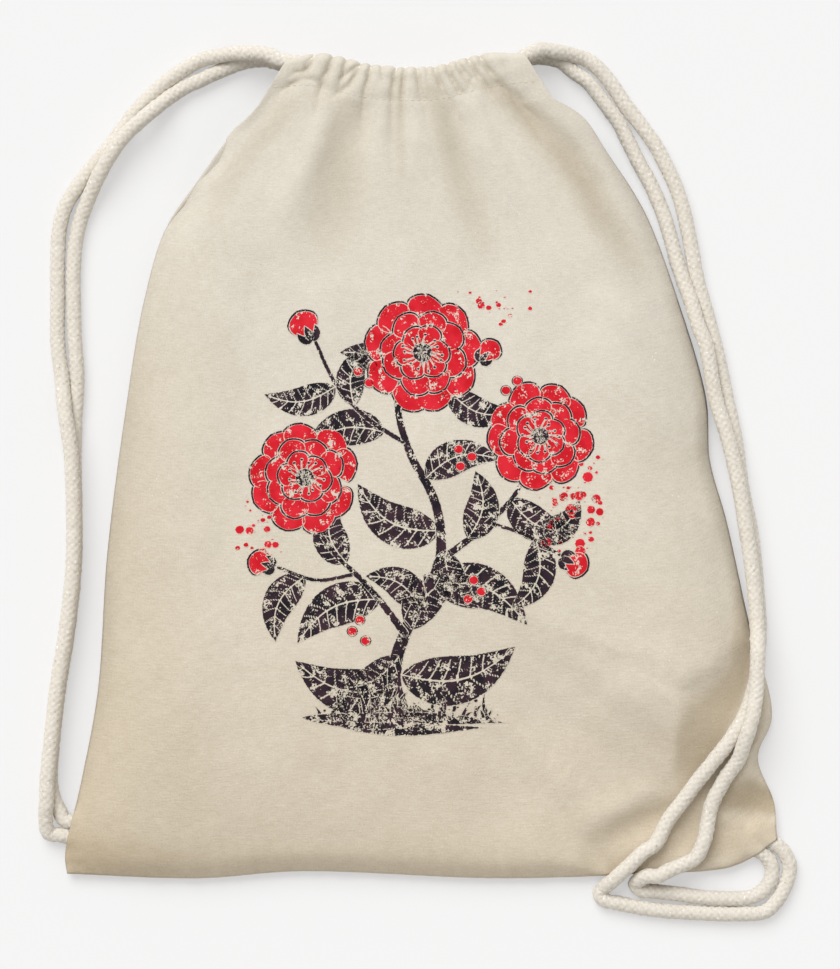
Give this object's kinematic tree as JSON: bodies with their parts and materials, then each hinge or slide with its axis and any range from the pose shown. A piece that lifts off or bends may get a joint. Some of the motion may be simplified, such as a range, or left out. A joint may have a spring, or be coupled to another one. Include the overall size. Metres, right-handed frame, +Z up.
{
  "type": "drawstring backpack",
  "caption": "Soft cotton drawstring backpack lying flat, gathered mouth drawn shut on twin cords that loop down to both bottom corners as shoulder straps.",
  "frame": {"origin": "middle of the bag's laid outline (without the strap cords), on the surface it lies on", "axes": "+Y towards the drawn mouth, +X to the right as the printed front is seen, +Z up out of the front"},
  "size_m": [0.4035, 0.4669, 0.031],
  "materials": {
    "cotton_cloth": "unbleached plain-weave cotton",
    "cotton_cord": "braided cotton cord"
  },
  "bodies": {
    "bag": {"front_panel": "cotton_cloth", "back_panel": "cotton_cloth", "front_hem_tunnel": "cotton_cloth", "back_hem_tunnel": "cotton_cloth", "left_seam_allowance": "cotton_cloth", "right_seam_allowance": "cotton_cloth", "bottom_seam_allowance": "cotton_cloth", "left_cord_in_tunnels": "cotton_cord", "right_cord_in_tunnels": "cotton_cord", "left_cord_end_outer": "cotton_cord", "left_cord_end_inner": "cotton_cord", "right_cord_end_outer": "cotton_cord", "right_cord_end_inner": "cotton_cord"},
    "left_strap": {"left_strap_strand_outer": "cotton_cord", "left_strap_strand_inner": "cotton_cord"},
    "right_strap": {"right_strap_strand_outer": "cotton_cord", "right_strap_strand_inner": "cotton_cord"}
  },
  "joints": [
    {"name": "left_strap_swing", "type": "hinge", "parent": "bag", "child": "left_strap", "pos_m": [-0.117, 0.217, 0.0042], "axis": [0.1785, 0.9839, -0.0019], "range_deg": [0, 90]},
    {"name": "right_strap_swing", "type": "hinge", "parent": "bag", "child": "right_strap", "pos_m": [0.087, 0.217, 0.0042], "axis": [0.0871, -0.996, 0.0213], "range_deg": [0, 90]}
  ]
}
